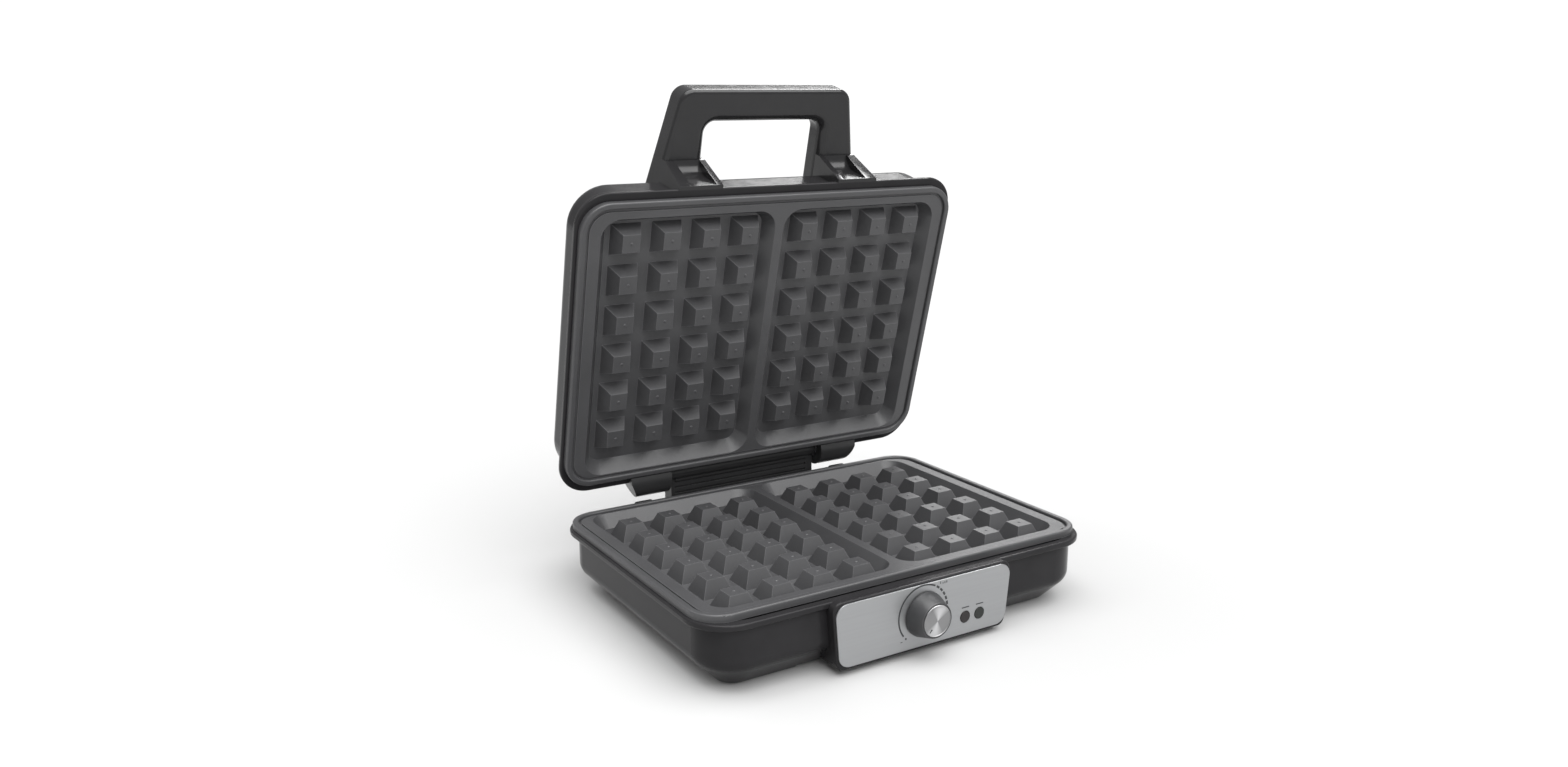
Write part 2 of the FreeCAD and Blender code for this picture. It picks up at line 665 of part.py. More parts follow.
def indicator_lamps():
    return group("indicator_lamps", lamp_tools("lamp", "2.8", "14", "-bezel_face + skin_t + 1.4"))


BUSHING_FRONT = "-(bezel_face + face_t + 2.2)"
THERMOSTAT_FRONT = "-(bezel_face - skin_t - 0.1)"


def thermostat_body():
    block = box("thermostat_block", "knob_x - 14", THERMOSTAT_FRONT, "knob_z - 9", "28", "17", "18")
    bushing = cylinder("thermostat_bushing", "4.5", "7", "knob_x", BUSHING_FRONT, "knob_z", "Y")
    bore = cylinder("thermostat_bore", "shaft_r + 0.06", "14", "knob_x", "-(bezel_face + 4)", "knob_z", "Y")
    return cut("thermostat_body", fuse("thermostat_solid", [block, bushing]), [bore])


def thermostat_nut():
    blank = doc.addObject("Part::Prism", "nut_blank")
    blank.Polygon = 6
    blank.Circumradius = 7.6
    blank.Height = 1.8
    blank.Placement = FreeCAD.Placement(Vector(), FreeCAD.Rotation(Vector(1, 0, 0), 90))
    for letter, place in (("x", "knob_x"), ("y", "-(bezel_face + face_t)"), ("z", "knob_z")):
        bind(blank, "Placement.Base." + letter, place)
    hole = cylinder("nut_hole", "4.55", "6", "knob_x", "-(bezel_face + face_t + 4)", "knob_z", "Y")
    return cut("thermostat_nut", blank, [hole])


def turned(name, points):
    """A profile of radius and Y, turned about the Y axis."""
    body = new_body(name)
    sketch = new_sketch(body, name + "_profile", "XY_Plane")
    polygon(sketch, points)
    doc.recompute()
    spin = body.newObject("PartDesign::Revolution", name + "_turning")
    spin.Profile = sketch
    spin.ReferenceAxis = (sketch, ["V_Axis"])
    spin.Angle = 360
    doc.recompute()
    return body


KNOB_FOOT = "-(bezel_face + face_t + 0.5)"


def thermostat_knob():
    tip = f"{KNOB_FOOT} - knob_long"
    nut_room = f"{KNOB_FOOT} - 2.6"
    bore_end = f"{KNOB_FOOT} - 8"
    bore = "shaft_r + 0.02"
    body = turned("thermostat_knob", [
        ("0", bore_end), (bore, bore_end), (bore, nut_room), ("knob_r - 2.2", nut_room),
        ("knob_r - 2.2", KNOB_FOOT), ("knob_r", KNOB_FOOT), ("knob_tip", tip),
        ("cap_r + 0.1", tip), ("cap_r + 0.1", f"{tip} + 0.8"), ("0", f"{tip} + 0.8")])
    return body


def knob_cap():
    seat = f"{KNOB_FOOT} - knob_long + 0.8"
    return turned("knob_cap", [("0", seat), ("cap_r", seat), ("cap_r", f"{seat} - 0.9"),
                               ("cap_r - 0.3", f"{seat} - 1.2"), ("0", f"{seat} - 1.2")])


def thermostat_shaft():
    back, front = "-(bezel_face - 9)", f"{KNOB_FOOT} - 7.9"
    return turned("thermostat_shaft", [("0", back), ("shaft_r", back), ("shaft_r", front), ("0", front)])


def side_prism(name, left, right, points):
    """A profile in Y and Z extruded across the machine."""
    body = new_body(name)
    sketch = new_sketch(body, name + "_profile", "YZ_Plane", left)
    polygon(sketch, points)
    feature(body, "Pad", name + "_block", sketch, f"{right} - ({left})")
    return body


CHEEK_ENDS = [("-cheek_out + 3.2", "-cheek_in"), ("cheek_in", "cheek_out - 0.6")]


def hinge_tower():
    """Stands behind the lower plate; its two cheeks carry the hinge pins."""
    foot_y, lip_y = "shell_back + 0.1", "shell_back + lip_out_y + 0.2"
    low, under = "17", "lip_top - lip_t - 0.1"
    ridges = side_prism("tower_ridges", "-cheek_in", "cheek_in", [
        (foot_y, low), (foot_y, under), (lip_y, under), (lip_y, "44.5"),
        (f"{lip_y} + 1.2", "44.7"), (f"{lip_y} + 1.2", "45.5"), (lip_y, "45.7"), (lip_y, "48.3"),
        (f"{lip_y} + 1.2", "48.5"), (f"{lip_y} + 1.2", "49.3"), (lip_y, "49.5"), (lip_y, "52"),
        (f"{lip_y} - 0.8", "53.2"), (f"{lip_y} - 0.8", "57"), (f"{lip_y} + 7", "57"),
        (f"{lip_y} + 9.5", "53"), (f"{lip_y} + 9.5", "24"), (f"{lip_y} + 4", low)])
    barrel = cylinder("tower_barrel", "cheek_r", "2*cheek_in", "-cheek_in", "hinge_y", "hinge_z", "X")
    cheeks = []
    for n, (left, right) in enumerate((("-cheek_out", "-cheek_in"), ("cheek_in", "cheek_out"))):
        cheeks.append(side_prism(f"tower_cheek_{n}", *CHEEK_ENDS[n], [
            (foot_y, low), (foot_y, under), (lip_y, under), (lip_y, "hinge_z"),
            ("hinge_y + cheek_r", "hinge_z"), (f"{lip_y} + 9.5", "51"), (f"{lip_y} + 9.5", "24"),
            (f"{lip_y} + 4", low)]))
        cheeks.append(cylinder(f"tower_eye_{n}", "cheek_r", "cheek_out - cheek_in", left, "hinge_y",
                               "hinge_z", "X"))
    bore = cylinder("tower_bore", "pin_r + 0.02", "2*cheek_out + 4", "-cheek_out - 2", "hinge_y",
                    "hinge_z", "X")
    pilots = [cylinder(f"tower_pilot_{n}", "screw_r + 0.05", "10", x, "shell_back", z, "Y")
              for n, (x, z) in enumerate(TOWER_SCREWS)]
    return cut("hinge_tower", fuse("tower_solid", [ridges, barrel] + cheeks), [bore] + pilots)


def tower_screws():
    inside = "shell_back - skin_t - 0.1"
    return group("tower_screws", [screw(f"tower_screw_{n}", x, inside, z, "11", "Y")
                                  for n, (x, z) in enumerate(TOWER_SCREWS)])


def hinge_pin(name, start):
    return group(name, [cylinder(name + "_rod", "pin_r", "23", start, "hinge_y", "hinge_z", "X")])


def terminal_block():
    block = box("terminal_blank", "62", "68", f"{FLOOR_Z}", "34", "14", "12")
    wells = [cylinder(f"terminal_well_{n}", "2.4", "8", f"{68 + 11 * n}", "75", f"{FLOOR_Z} + 6", "Z")
             for n in range(3)]
    return cut("terminal_block", block, wells)


def terminal_screws():
    return group("terminal_screws", [
        cylinder(f"terminal_screw_{n}", "2.2", "4", f"{68 + 11 * n}", "75", f"{FLOOR_Z} + 6.1", "Z")
        for n in range(3)])


def cord_gland():
    inner = cylinder("gland_stem", "6.4", "14", GLAND_X, "shell_back - skin_t - 5", GLAND_Z, "Y")
    collar = cylinder("gland_collar", "9", "3", GLAND_X, "shell_back + 0.1", GLAND_Z, "Y")
    nut = cylinder("gland_nut", "8.6", "3", GLAND_X, "shell_back - skin_t - 3.1", GLAND_Z, "Y")
    bore = cylinder("gland_bore", "3.6", "30", GLAND_X, "shell_back - 15", GLAND_Z, "Y")
    return cut("cord_gland", fuse("gland_solid", [inner, collar, nut]), [bore])


def thermal_fuse():
    body = cylinder("fuse_can", "2.1", "16", "-8", "12", f"{UNDERSIDE} - 2.3", "X")
    leads = cylinder("fuse_leads", "0.6", "36", "-18", "12", f"{UNDERSIDE} - 2.3", "X")
    return fuse("thermal_fuse", [body, leads])


# ---------------------------------------------------------------- lid

HANDLE_SCREWS = [("-56", "72"), ("56", "72")]
LUG_SCREWS = [(x, "71") for x in ("-78", "-64", "64", "78")]


def lid_shell():
    body = shell_outside("lid_shell", over)
    hollow(body, over, "(pad_z + skin_t)")
    screw_posts(body, over, "(pad_z + skin_t)", "pad_z")

    def backing(sketch):
        rounded_rectangle(sketch, "-60", "60", "notch_y - 3", "shell_back - 1", "1")
    slab(body, "Pad", "notch_backing", below, over("lip_top - 0.5"), over("lip_top") + " + 27", backing)

    def notch(sketch):
        rounded_rectangle(sketch, "-(lug_in + 0.3)", "lug_in + 0.3", "notch_y", "notch_y + 20", "1")
    slab(body, "Pocket", "hinge_notch", over, "0", "lip_top + 1", notch)
    front_hole(body, "handle_screw_holes", circles(HANDLE_SCREWS, "1.8"), "lid_front + 1", "skin_t + 2")
    rear_hole(body, "lug_screw_holes", circles(LUG_SCREWS, "1.8"), "shell_back + 1", "skin_t + 2")
    return body


def screw_plugs():
    return group("screw_plugs", [cylinder(f"plug_{n}", "boss_r - 0.35", "3", x, y, f"{LID_TOP} - 3")
                                 for n, (x, y) in enumerate(plate_fixing_points())])


GRIP_LOW = "(tooth_z + plate_gap + grip_z)"


def handle():
    body = new_body("handle_blank")
    outline = new_sketch(body, "grip_outline", "XY_Plane", GRIP_LOW)
    polygon(outline, [("-leg_half", "-78"), ("-grip_half", "-grip_out"), ("grip_half", "-grip_out"),
                      ("leg_half", "-78")])
    feature(body, "Pad", "grip", outline, "grip_t")
    hand = new_sketch(body, "hand_outline", "XY_Plane", f"{GRIP_LOW} + grip_t")
    rounded_rectangle(hand, "-hand_half", "hand_half", "-grip_in", "-60", "7")
    feature(body, "Pocket", "hand_opening", hand, "grip_t")
    front = value("-grip_out")
    dress(body, "Fillet", "grip_corners", lambda edge: edge.BoundBox.ZLength > 5
          and edge.BoundBox.YMin < front + 1, "9")
    lower, upper = value(GRIP_LOW), value(f"{GRIP_LOW} + grip_t")

    inside = value("hand_half") + 0.1

    def hand_edges(edge):
        return flat_at(lower)(edge) and max(-edge.BoundBox.XMin, edge.BoundBox.XMax) < inside

    def long_edges(edge):
        level = flat_at(lower)(edge) or flat_at(upper)(edge)
        return level and edge.BoundBox.YMin < -79
    dress(body, "Fillet", "hand_round", hand_edges, "6.2")
    dress(body, "Fillet", "grip_round", lambda edge: long_edges(edge) and not (
        flat_at(lower)(edge) and max(-edge.BoundBox.XMin, edge.BoundBox.XMax) < inside + 6.5), "3.2")
    knee = ("(grip_half + (leg_half - grip_half)*(grip_out - leg_knee)/(grip_out - 78))")
    foot_low = over("lip_top") + " + 0.3"
    feet = new_sketch(body, "leg_feet_outline", "XY_Plane", foot_low)
    for sign in ("-", ""):
        polygon(feet, [(f"{sign}hand_half", "-87"), (f"{sign}(leg_half - 1.6)", "-87"),
                       (f"{sign}{knee}", "-leg_knee"), (f"{sign}hand_half", "-leg_knee")])
    feature(body, "Pad", "leg_feet", feet, f"{GRIP_LOW} + 3.1 - ({foot_low})")
    slope = new_sketch(body, "leg_slope", "YZ_Plane")
    polygon(slope, [("-lid_front - lid_lip_y - 1.8", foot_low), ("-leg_knee", f"{GRIP_LOW} - 1.5"),
                    ("-leg_knee - 10", f"{GRIP_LOW} - 1.5"), ("-leg_knee - 10", foot_low)])
    doc.recompute()
    wedge = body.newObject("PartDesign::Pocket", "leg_wedge")
    wedge.Profile = slope
    wedge.SideType = "Symmetric"
    wedge.Length = 200
    doc.recompute()
    scoops = []
    for n, x in enumerate(("-(hand_half + 3.8 + 17)", "hand_half + 3.8")):
        scoops.append(cylinder(f"leg_scoop_{n}", "11", "17", x, "-105.2", "68.2", "X"))
        scoops.append(box(f"leg_floor_{n}", x, "-105.2", "50", "17", "11", "18.2"))
    pilots = [cylinder(f"handle_pilot_{n}", "1.65", "4", x, "-lid_front", z, "-Y")
              for n, (x, z) in enumerate(HANDLE_SCREWS)]
    envelope = shell_outside("lid_envelope", over)
    return cut("handle", body, [envelope] + scoops + pilots)


def handle_screws():
    inside = "-(lid_front - skin_t - 0.1)"
    return group("handle_screws", [screw(f"handle_screw_{n}", x, inside, z, "6.3", "-Y", shank_r="1.6")
                                   for n, (x, z) in enumerate(HANDLE_SCREWS)])


def hinge_lug(name, sign):
    """Turns on the pin; its root is screwed to the lid's rear wall."""
    inner = f"{sign}lug_in"
    root_from = inner if sign == "" else "-(lug_out + 5.5)"
    barrel = cylinder(name + "_barrel", "lug_r", "lug_out + 5.5 - lug_in", root_from, "hinge_y", "hinge_z",
                      "X")
    root = box(name + "_root", root_from, "shell_back - 2", over("lip_top - 1"),
               "lug_out + 5.5 - lug_in", "8.4", "22")
    trim = box(name + "_trim", "-100", "60", "30", "200", "rim_back + 0.3 - 60", "60")
    taper = new_body(name + "_taper")
    outline = new_sketch(taper, name + "_taper_outline", "XY_Plane", "30")
    behind = "hinge_y + lug_r + 1"
    polygon(outline, [(f"{sign}(lug_out + 6)", "hinge_y - 4"), (f"{sign}(lug_out - 1.5)", behind),
                      (f"{sign}(lug_out + 9)", behind), (f"{sign}(lug_out + 9)", "hinge_y - 4")])
    feature(taper, "Pad", name + "_taper_pad", outline, "60")
    wall = shell_outside(name + "_wall", over)
    bore_from = f"{inner} - 1" if sign == "" else "-(lug_in + 17.5)"
    bore = cylinder(name + "_bore", "pin_r + pin_play", "18.5", bore_from, "hinge_y", "hinge_z", "X")
    pilots = [cylinder(f"{name}_pilot_{n}", "1.65", "5.8", x, "shell_back", z, "Y")
              for n, (x, z) in enumerate(LUG_SCREWS) if (sign == "") == (value(x) > 0)]
    return cut(name, fuse(name + "_solid", [barrel, root]), [trim, taper, wall, bore] + pilots)


def lug_screws():
    inside = "shell_back - skin_t - 0.1"
    return group("lug_screws", [screw(f"lug_screw_{n}", x, inside, z, "8", "Y", shank_r="1.6")
                                for n, (x, z) in enumerate(LUG_SCREWS)])


def hinge_washers():
    rings = []
    for n, start in enumerate(("-(cheek_out + 0.8)", "cheek_out + 0.1")):
        ring = cylinder(f"washer_ring_{n}", "5.3", "0.7", start, "hinge_y", "hinge_z", "X")
        hole = cylinder(f"washer_hole_{n}", "pin_r + pin_play", "4", f"{start} - 1", "hinge_y",
                        "hinge_z", "X")
        rings.append(cut(f"washer_{n}", ring, [hole]))
    return group("hinge_washers", rings)


# ---------------------------------------------------------------- assembly

def build_base():
    return [
        base_housing(), rubber_feet(), cooking_plate("lower_plate", below),
        heating_element("lower_element", below), reflector_pan("lower_reflector", below),
        plate_screws("lower_plate_screws", below), control_bezel(), control_faceplate(),
        lens("power_light_lens", "lamp_x"), lens("ready_light_lens", "lamp_x + lamp_step"),
        indicator_lamps(), thermostat_body(), thermostat_nut(), hinge_tower(), tower_screws(),
        hinge_pin("left_hinge_pin", "-(cheek_in + 23.4)"), hinge_pin("right_hinge_pin", "cheek_in + 0.4"),
        terminal_block(), terminal_screws(), cord_gland(), thermal_fuse(),
    ]


def build_knob():
    return [thermostat_knob(), knob_cap(), thermostat_shaft()]


def build_lid():
    return [
        lid_shell(), cooking_plate("upper_plate", over), heating_element("upper_element", over),
        reflector_pan("upper_reflector", over), plate_screws("upper_plate_screws", over),
        screw_plugs(), handle(), handle_screws(), hinge_lug("left_hinge_lug", "-"),
        hinge_lug("right_hinge_lug", ""), lug_screws(), hinge_washers(),
    ]


STILL = "placement(vector(0; -frame_shift; 0); rotation(vector(1; 0; 0); 0))"
ON_SHAFT = "placement(vector(knob_x; -frame_shift; knob_z); rotation(vector(1; 0; 0); 0))"
SWUNG_Y = "hinge_y - hinge_y*cos(lid_open) - hinge_z*sin(lid_open) - frame_shift"
SWUNG_Z = "hinge_z + hinge_y*sin(lid_open) - hinge_z*cos(lid_open)"
SWUNG = f"placement(vector(0; {SWUNG_Y}; {SWUNG_Z}); rotation(vector(-1; 0; 0); lid_open))"


def check(parts):
    for item in doc.Objects:
        if "Invalid" in item.State or "Error" in item.State:
            raise RuntimeError(f"{item.Name} is {item.State}")
    for part in parts:
        if part.Shape.isNull() or not part.Shape.isValid() or not part.Shape.Solids:
            raise RuntimeError(f"{part.Label} has no valid solid")


def main():
    fill_sheet()
    parts = []
    for build, placement in ((build_base, STILL), (build_knob, ON_SHAFT), (build_lid, SWUNG)):
        for part in build():
            bind(part, "Placement", placement)
            parts.append(part)
    doc.recompute()
    check(parts)
    os.makedirs("parts", exist_ok=True)
    for part in parts:
        part.Shape.exportStep(f"parts/{part.Label}.step")
        box_ = part.Shape.BoundBox
        print(f"{part.Label:22s} solids {len(part.Shape.Solids)}  x {box_.XMin:7.1f} {box_.XMax:6.1f}"
              f"  y {box_.YMin:7.1f} {box_.YMax:6.1f}  z {box_.ZMin:6.1f} {box_.ZMax:6.1f}"
              f"  {part.Shape.Volume / 1000:7.2f} cm3")


main()
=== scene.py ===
"""Looks of the waffle maker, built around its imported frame."""

import json
import math

import bmesh
import bpy
from mathutils import Matrix, Vector


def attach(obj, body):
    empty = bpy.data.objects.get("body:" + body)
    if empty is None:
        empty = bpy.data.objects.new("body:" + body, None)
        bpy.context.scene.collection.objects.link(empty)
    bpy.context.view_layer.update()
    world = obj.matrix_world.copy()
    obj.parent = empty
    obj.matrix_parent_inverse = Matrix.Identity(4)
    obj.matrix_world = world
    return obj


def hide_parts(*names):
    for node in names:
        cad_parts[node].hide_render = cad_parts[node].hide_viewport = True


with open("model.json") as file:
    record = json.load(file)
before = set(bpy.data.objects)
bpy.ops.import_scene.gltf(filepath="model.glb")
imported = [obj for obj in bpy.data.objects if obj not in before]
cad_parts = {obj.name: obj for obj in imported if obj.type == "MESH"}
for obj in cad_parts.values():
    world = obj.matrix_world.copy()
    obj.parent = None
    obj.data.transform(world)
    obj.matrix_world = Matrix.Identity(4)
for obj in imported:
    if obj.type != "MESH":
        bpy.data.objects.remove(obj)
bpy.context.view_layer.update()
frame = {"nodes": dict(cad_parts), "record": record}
NODES = frame["nodes"]
RECORD = frame["record"]
BODIES = {node: body for body, nodes in RECORD["behaviour"]["bodies"].items() for node in nodes}
MM = 0.001

# ---------------------------------------------------------------- materials

MIDDLE = (0.3, 0.7)  # the part of a noise's range where most of its values lie
EVEN = (1, 1, 1)
ALONG_X = (0.03, 1, 1)  # draws a pattern out into long lines along X


def shade(colour, share):
    return tuple(part * share for part in colour)


class Shader:
    """A material's node tree while it is being filled in."""

    def __init__(self, name):
        self.material = bpy.data.materials.new(name)
        self.material.use_nodes = True
        self.tree = self.material.node_tree
        self.surface = self.tree.nodes["Principled BSDF"]

    def node(self, kind, links=None, **settings):
        """A new node; the settings are its own or those of its sockets."""
        item = self.tree.nodes.new(kind)
        for key, value in settings.items():
            if key in item.inputs.keys():
                item.inputs[key].default_value = value
            else:
                setattr(item, key, value)
        for key, source in (links or {}).items():
            self.tree.links.new(source, item.inputs[key])
        return item

    def noise(self, scale, detail, stretch=EVEN):
        coords = self.node("ShaderNodeTexCoord")
        mapping = self.node("ShaderNodeMapping", {"Vector": coords.outputs["Object"]}, Scale=stretch)
        item = self.node("ShaderNodeTexNoise", {"Vector": mapping.outputs["Vector"]},
                         Scale=scale, Detail=detail)
        return item.outputs["Fac"]

    def level(self, source, low, high, at):
        """A value that runs from low to high as the source runs between the two ends of at."""
        item = self.node("ShaderNodeMapRange", {"Value": source})
        for key, size in zip(("From Min", "From Max", "To Min", "To Max"), (*at, low, high)):
            item.inputs[key].default_value = size
        return item.outputs["Result"]

    def tint(self, source, low, high, at):
        """A colour that runs from low to high as the source does."""
        item = self.node("ShaderNodeValToRGB", {"Fac": source})
        for stop, colour, where in zip(item.color_ramp.elements, (low, high), at):
            stop.color = (*colour, 1)
            stop.position = where
        return item.outputs["Color"]

    def mix(self, share, first, second):
        """Goes from one colour to another; each is a fixed colour or a socket."""
        item = self.node("ShaderNodeMix", {0: share}, data_type="RGBA")
        colour_sockets = {6: first, 7: second}
        for index, source in colour_sockets.items():
            if isinstance(source, tuple):
                item.inputs[index].default_value = (*source, 1)
            else:
                self.tree.links.new(source, item.inputs[index])
        return item.outputs[2]

    def bump(self, layers):
        """Layers of (height source, strength, depth in metres), each laid over the one before."""
        normal = None
        for source, strength, depth in layers:
            item = self.node("ShaderNodeBump", {"Height": source}, Strength=strength, Distance=depth)
            if normal is not None:
                self.tree.links.new(normal, item.inputs["Normal"])
            normal = item.outputs["Normal"]
        self.tree.links.new(normal, self.surface.inputs["Normal"])

    def set(self, **values):
        """Fills the surface's sockets, each with a fixed value, a colour or a link."""
        for key, value in values.items():
            socket = self.surface.inputs[key.replace("_", " ")]
            if hasattr(value, "links"):
                self.tree.links.new(value, socket)
            elif isinstance(value, tuple):
                socket.default_value = (*value, 1)
            else:
                socket.default_value = value


def painted_edge_highlight(shader, radius):
    """A mask for a painted highlight: near 1 on sharp edges, 0 on the flats."""
    bevel = shader.node("ShaderNodeBevel", samples=6, Radius=radius)
    geometry = shader.node("ShaderNodeNewGeometry")
    agreement = shader.node(
        "ShaderNodeVectorMath", {0: bevel.outputs["Normal"], 1: geometry.outputs["Normal"]},
        operation="DOT_PRODUCT")
    return shader.level(agreement.outputs["Value"], 1.0, 0.0, at=(0.82, 0.995))


def moulded_plastic(name, colour, rough, grain=0.00002, specular=0.5):
    shader = Shader(name)
    shader.set(
        Base_Color=shader.tint(shader.noise(45, 3), shade(colour, 0.9), shade(colour, 1.12), at=MIDDLE),
        Roughness=shader.level(shader.noise(160, 4), rough - 0.03, rough + 0.04, at=MIDDLE),
        IOR=1.5, Specular_IOR_Level=specular)
    shader.bump([(shader.noise(1700, 2), 0.03, grain), (shader.noise(30, 2), 0.05, 0.0002)])
    return shader.material


def coated_plate(name, colour):
    """Cast metal under a dark coating, with a painted highlight that makes it paler on its edges."""
    shader = Shader(name)
    fine = shader.noise(1500, 2)
    tone = shader.tint(shader.noise(28, 4), shade(colour, 0.9), shade(colour, 1.1), at=MIDDLE)
    # the paler edges are a painted highlight in the base colour
    shader.set(Base_Color=shader.mix(painted_edge_highlight(shader, 0.0009), tone, shade(colour, 1.9)),
               Roughness=shader.level(fine, 0.36, 0.48, at=MIDDLE), IOR=1.5)
    shader.bump([(fine, 0.5, 0.00005), (shader.noise(220, 3), 0.2, 0.00012)])
    return shader.material


def brushed(name, colour, rough, stretch=EVEN, depth=0.00003, metal=1.0, contrast=1.0):
    """Brushed metal; contrast says how far its lines differ in tone and roughness."""
    shader = Shader(name)
    lines = shader.noise(900, 3, stretch)
    broad = shader.noise(60, 2, stretch)
    shader.set(
        Base_Color=shader.tint(lines, shade(colour, 1 - 0.1 * contrast), shade(colour, 1 + 0.08 * contrast),
                               at=MIDDLE),
        Metallic=metal,
        Roughness=shader.level(broad, rough - 0.05 * contrast, rough + 0.07 * contrast, at=MIDDLE))
    shader.bump([(lines, 0.4, depth)])
    return shader.material


def spun_with_painted_wedges(name, colour):
    """Turned metal: two bright wedges of painted reflection, set in its colour, run out from the middle,
    round the piece's own Y axis.
    """
    wedges = 2.0
    turned_by = 1.0
    shader = Shader(name)
    coords = shader.node("ShaderNodeTexCoord")
    split = shader.node("ShaderNodeSeparateXYZ", {"Vector": coords.outputs["Object"]})
    angle = shader.node("ShaderNodeMath", {0: split.outputs["X"], 1: split.outputs["Z"]},
                        operation="ARCTAN2")
    phase = shader.node("ShaderNodeMath", {0: angle.outputs[0]}, operation="MULTIPLY_ADD")
    phase.inputs[1].default_value = wedges
    phase.inputs[2].default_value = turned_by
    wave = shader.node("ShaderNodeMath", {0: phase.outputs[0]}, operation="SINE")
    rings = shader.node("ShaderNodeTexWave", {"Vector": coords.outputs["Object"]}, wave_type="RINGS",
                        rings_direction="Y", Scale=700).outputs["Fac"]
    # the pale and dark wedges are a painted reflection in the base colour, by angle round the axis
    painted_reflection = shader.level(wave.outputs[0], 0.0, 1.0, at=(0.0, 1.0))
    shader.set(Base_Color=shader.mix(painted_reflection, shade(colour, 0.72), shade(colour, 1.6)), Metallic=1.0,
               Roughness=shader.level(rings, 0.3, 0.36, at=(0.0, 1.0)), Anisotropic=0.7)
    tangent = shader.node("ShaderNodeTangent", direction_type="RADIAL", axis="Y")
    shader.tree.links.new(tangent.outputs["Tangent"], shader.surface.inputs["Tangent"])
    shader.bump([(rings, 0.06, 0.00002)])
    return shader.material


def printed(name, colour):
    shader = Shader(name)
    ink = shader.noise(3000, 3)
    shader.set(Base_Color=shader.tint(ink, colour, shade(colour, 1.6), at=(0.4, 0.75)),
               Roughness=shader.level(shader.noise(900, 2), 0.5, 0.65, at=MIDDLE))
    shader.bump([(ink, 0.3, 0.00002)])
    return shader.material


PLASTIC = moulded_plastic("housing_plastic", (0.0175, 0.017, 0.018), 0.17, specular=0.12)
HANDLE = moulded_plastic("handle_plastic", (0.015, 0.0148, 0.0155), 0.18, specular=0.35)
HINGE = moulded_plastic("hinge_plastic", (0.018, 0.018, 0.0185), 0.32, specular=0.4)
KNOB = moulded_plastic("knob_plastic", (0.03, 0.0305, 0.032), 0.34)
PLATE = coated_plate("plate_coating", (0.047, 0.047, 0.049))
STEEL = brushed("zinc_steel", (0.55, 0.55, 0.57), 0.35)
FACE = brushed("satin_face", (0.355, 0.36, 0.367), 0.40, ALONG_X, depth=0.0000008, metal=0.85,
               contrast=0.2)
# the cap's pale and dark wedges are a painted reflection in its colour
CAP = spun_with_painted_wedges("spun_cap", (0.4, 0.4, 0.405))
ELEMENT = brushed("tinted_steel", (0.25, 0.24, 0.22), 0.5)
RUBBER = moulded_plastic("foot_rubber", (0.012, 0.012, 0.012), 0.75)
RED_LENS = moulded_plastic("smoked_red_lens", (0.018, 0.0155, 0.016), 0.15, grain=0.0, specular=0.3)
GREEN_LENS = moulded_plastic("smoked_green_lens", (0.0155, 0.0172, 0.016), 0.15, grain=0.0, specular=0.3)
PALE = moulded_plastic("pale_moulding", (0.5, 0.48, 0.42), 0.5)
BRASS = brushed("brass", (0.7, 0.5, 0.22), 0.35)
INK = printed("dial_ink", (0.022, 0.0225, 0.024))

LOOKS = {
    "base_housing": PLASTIC, "rubber_feet": RUBBER, "lower_plate": PLATE, "lower_element": ELEMENT,
    "lower_reflector": STEEL, "lower_plate_screws": STEEL, "control_bezel": PLASTIC,
    "control_faceplate": FACE, "power_light_lens": RED_LENS, "ready_light_lens": GREEN_LENS,
    "indicator_lamps": PALE, "thermostat_body": PALE, "thermostat_nut": STEEL, "hinge_tower": HINGE,
    "tower_screws": STEEL, "left_hinge_pin": STEEL, "right_hinge_pin": STEEL, "terminal_block": PALE,
    "terminal_screws": BRASS, "cord_gland": HINGE, "thermal_fuse": STEEL, "thermostat_knob": KNOB,
    "knob_cap": CAP, "thermostat_shaft": STEEL, "lid_shell": PLASTIC, "upper_plate": PLATE,
    "upper_element": ELEMENT, "upper_reflector": STEEL, "upper_plate_screws": STEEL,
    "screw_plugs": PLASTIC, "handle": HANDLE, "handle_screws": STEEL, "left_hinge_lug": HINGE,
    "right_hinge_lug": HINGE, "lug_screws": STEEL, "hinge_washers": STEEL,
}
for node, look in LOOKS.items():
    NODES[node].data.materials.clear()
    NODES[node].data.materials.append(look)

# ---------------------------------------------------------------- making pieces

SHARP = math.radians(32)  # a bend beyond this shows as an edge
PLATE_EDGE = math.radians(20)
FLAT = math.radians(0.6)


def add_piece(name, work, look, body, at=(0, 0, 0)):
    """Turns a bmesh into a smooth-shaded piece that rides on a body."""
    bmesh.ops.recalc_face_normals(work, faces=work.faces)
    mesh = bpy.data.meshes.new(name)
    for face in work.faces:
        face.smooth = True
    for edge in work.edges:
        edge.smooth = edge.calc_face_angle(0.0) < SHARP
    work.to_mesh(mesh)
    work.free()
    mesh.materials.append(look)
    item = bpy.data.objects.new(name, mesh)
    bpy.context.collection.objects.link(item)
    item.location = at
    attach(item, body)
    return item


def weigh_ridges(work):
    """Marks the sharp outward edges for rounding; inner corners stay crisp."""
    weight = work.edges.layers.float.new("bevel_weight_edge")
    work.normal_update()
    for edge in work.edges:
        if edge.is_manifold and edge.is_convex and edge.calc_face_angle(0.0) > SHARP:
            edge[weight] = 1.0


def round_ridges(item, width):
    bevel = item.modifiers.new("rounding", "BEVEL")
    bevel.width = width
    bevel.segments = 3
    bevel.limit_method = "WEIGHT"
    bevel.miter_outer = "MITER_ARC"
    normals = item.modifiers.new("normals", "WEIGHTED_NORMAL")
    normals.keep_sharp = True


